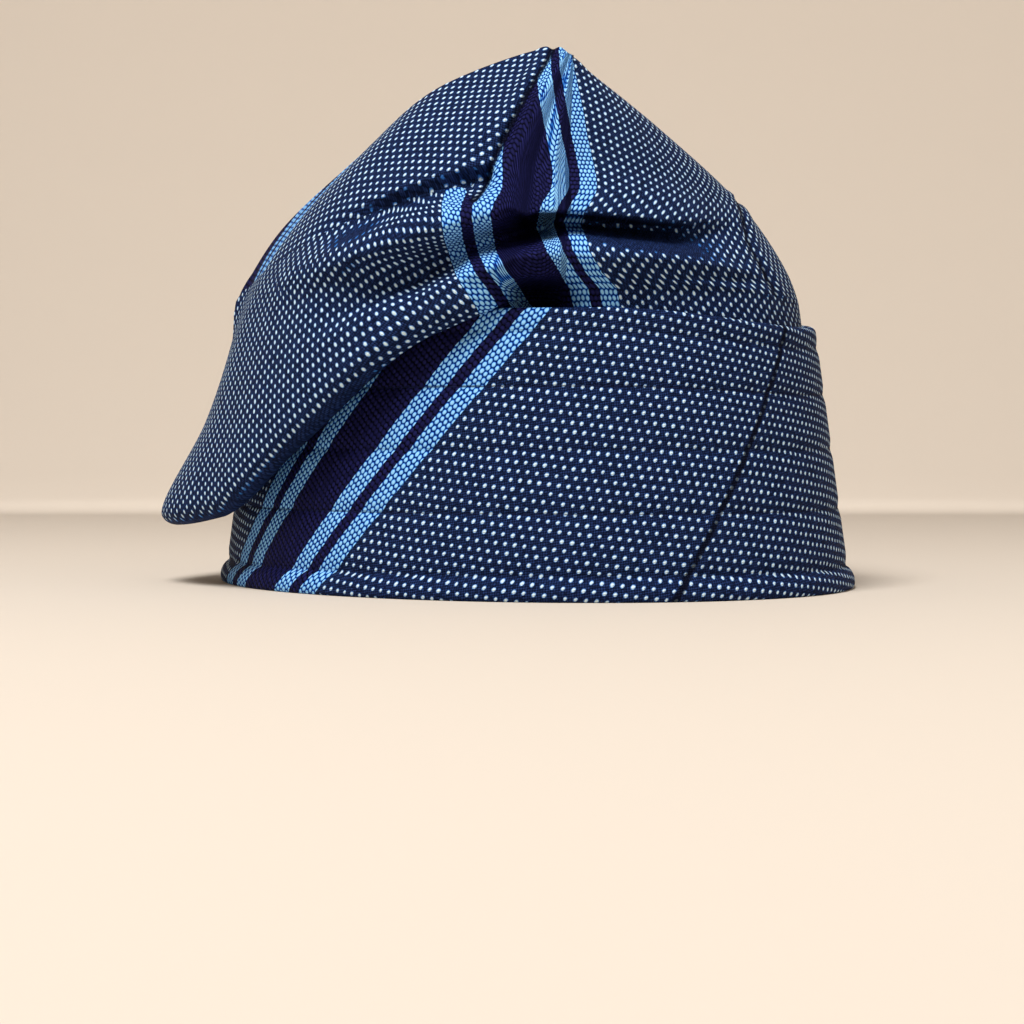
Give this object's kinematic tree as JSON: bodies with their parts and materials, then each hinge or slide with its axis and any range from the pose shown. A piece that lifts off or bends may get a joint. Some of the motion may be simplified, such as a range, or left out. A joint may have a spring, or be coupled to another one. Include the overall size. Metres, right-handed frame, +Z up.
{
  "type": "fila cap",
  "caption": "Soft brimless cloth cap with a stiff quilted headband and a peaked crown folded down over one side.",
  "frame": {"origin": "under the middle of the cap's bounding box, in the plane that its rim rests on", "axes": "+Z up from the rim to the peak, the forehead faces -Y, and the crown falls over the wearer's right at -X"},
  "size_m": [0.1787, 0.2053, 0.144],
  "materials": {
    "band": "matte woven cloth",
    "crown": "matte woven cloth"
  },
  "bodies": {
    "root": {"band": "band", "crown": "crown"}
  },
  "joints": []
}
